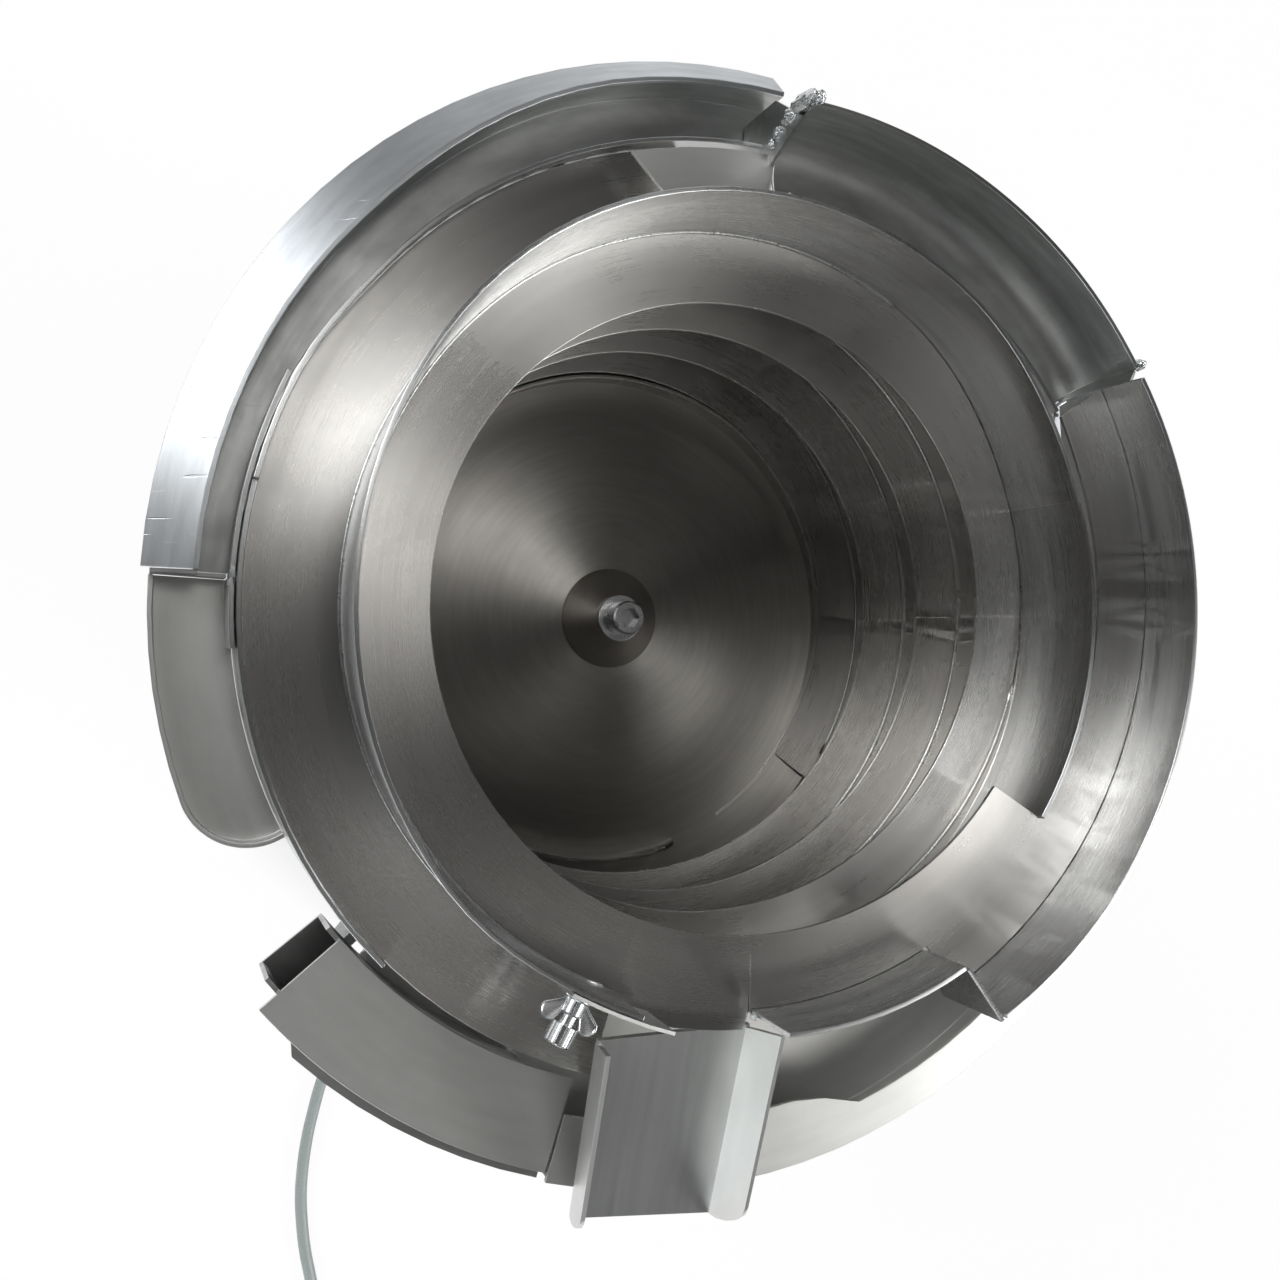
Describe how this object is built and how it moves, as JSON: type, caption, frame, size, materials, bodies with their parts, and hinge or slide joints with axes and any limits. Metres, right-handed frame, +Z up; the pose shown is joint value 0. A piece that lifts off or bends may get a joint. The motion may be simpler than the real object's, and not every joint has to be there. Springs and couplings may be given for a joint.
{
  "type": "vibratory bowl feeder",
  "caption": "Stainless bowl feeder: cylindrical bowl with a helical inner track, outer sorting lane, return trays and a discharge chute, on a leaf-spring vibratory drive.",
  "frame": {"origin": "on the bowl's axis, in the plane the three feet stand on", "axes": "+Z up along the bowl's axis, the chute discharges towards -Y, the half-pipe lies between +X and +Y"},
  "size_m": [0.5069, 0.8277, 0.463],
  "materials": {
    "adapter": "turned",
    "black_paint": "black satin paint",
    "bright_sheet": "brushed bright stainless",
    "gland": "black nylon",
    "grey_steel": "plain",
    "lamination": "stacked sheet",
    "leaf": "glass-fibre laminate",
    "plug_metal": "nickel plated",
    "pvc": "grey PVC",
    "rubber": "matt",
    "sheet": "satin rolled stainless",
    "turned": "turned and polished, dark",
    "winding": "varnished",
    "zinc": "bright zinc"
  },
  "bodies": {
    "root": {"bowl_floor": "turned", "bowl_shell": "sheet", "bowl_base": "adapter", "clamp_disc": "turned", "flat_washer": "zinc", "spring_washer": "zinc", "centre_bolt": "zinc", "start_riser": "sheet", "track_1": "sheet", "track_2": "sheet", "track_3": "sheet", "top_track": "sheet", "upper_wall": "bright_sheet", "rim_wall": "bright_sheet", "outlet_wall": "bright_sheet", "lane_wall": "bright_sheet", "lane_end_plate": "sheet", "half_pipe": "sheet", "drop_plate": "sheet", "sorting_band": "sheet", "band_lip": "bright_sheet", "gutter": "sheet", "flange": "bright_sheet", "guard_strip": "sheet", "pipe_tab": "bright_sheet", "left_tray": "sheet", "band_skirt": "bright_sheet", "catch_plate": "sheet", "return_box": "sheet", "pan": "sheet", "chute": "bright_sheet", "gate_plate": "bright_sheet", "gate_stud": "zinc", "wing_nut": "zinc", "pan_gussets": "grey_steel", "box_gussets": "grey_steel", "band_gussets": "grey_steel", "pipe_gussets": "grey_steel", "top_plate": "black_paint", "base_plate": "black_paint", "feet": "rubber", "spring_pack_1": "leaf", "spring_pack_2": "leaf", "spring_pack_3": "leaf", "clamp_plates": "black_paint", "clamp_screws": "zinc", "armature": "lamination", "magnet_core": "lamination", "coil": "winding", "magnet_stand": "black_paint", "lead_gland": "gland", "lead": "pvc", "lead_coil": "pvc", "lead_tail": "pvc", "lead_plug": "plug_metal"}
  },
  "joints": []
}
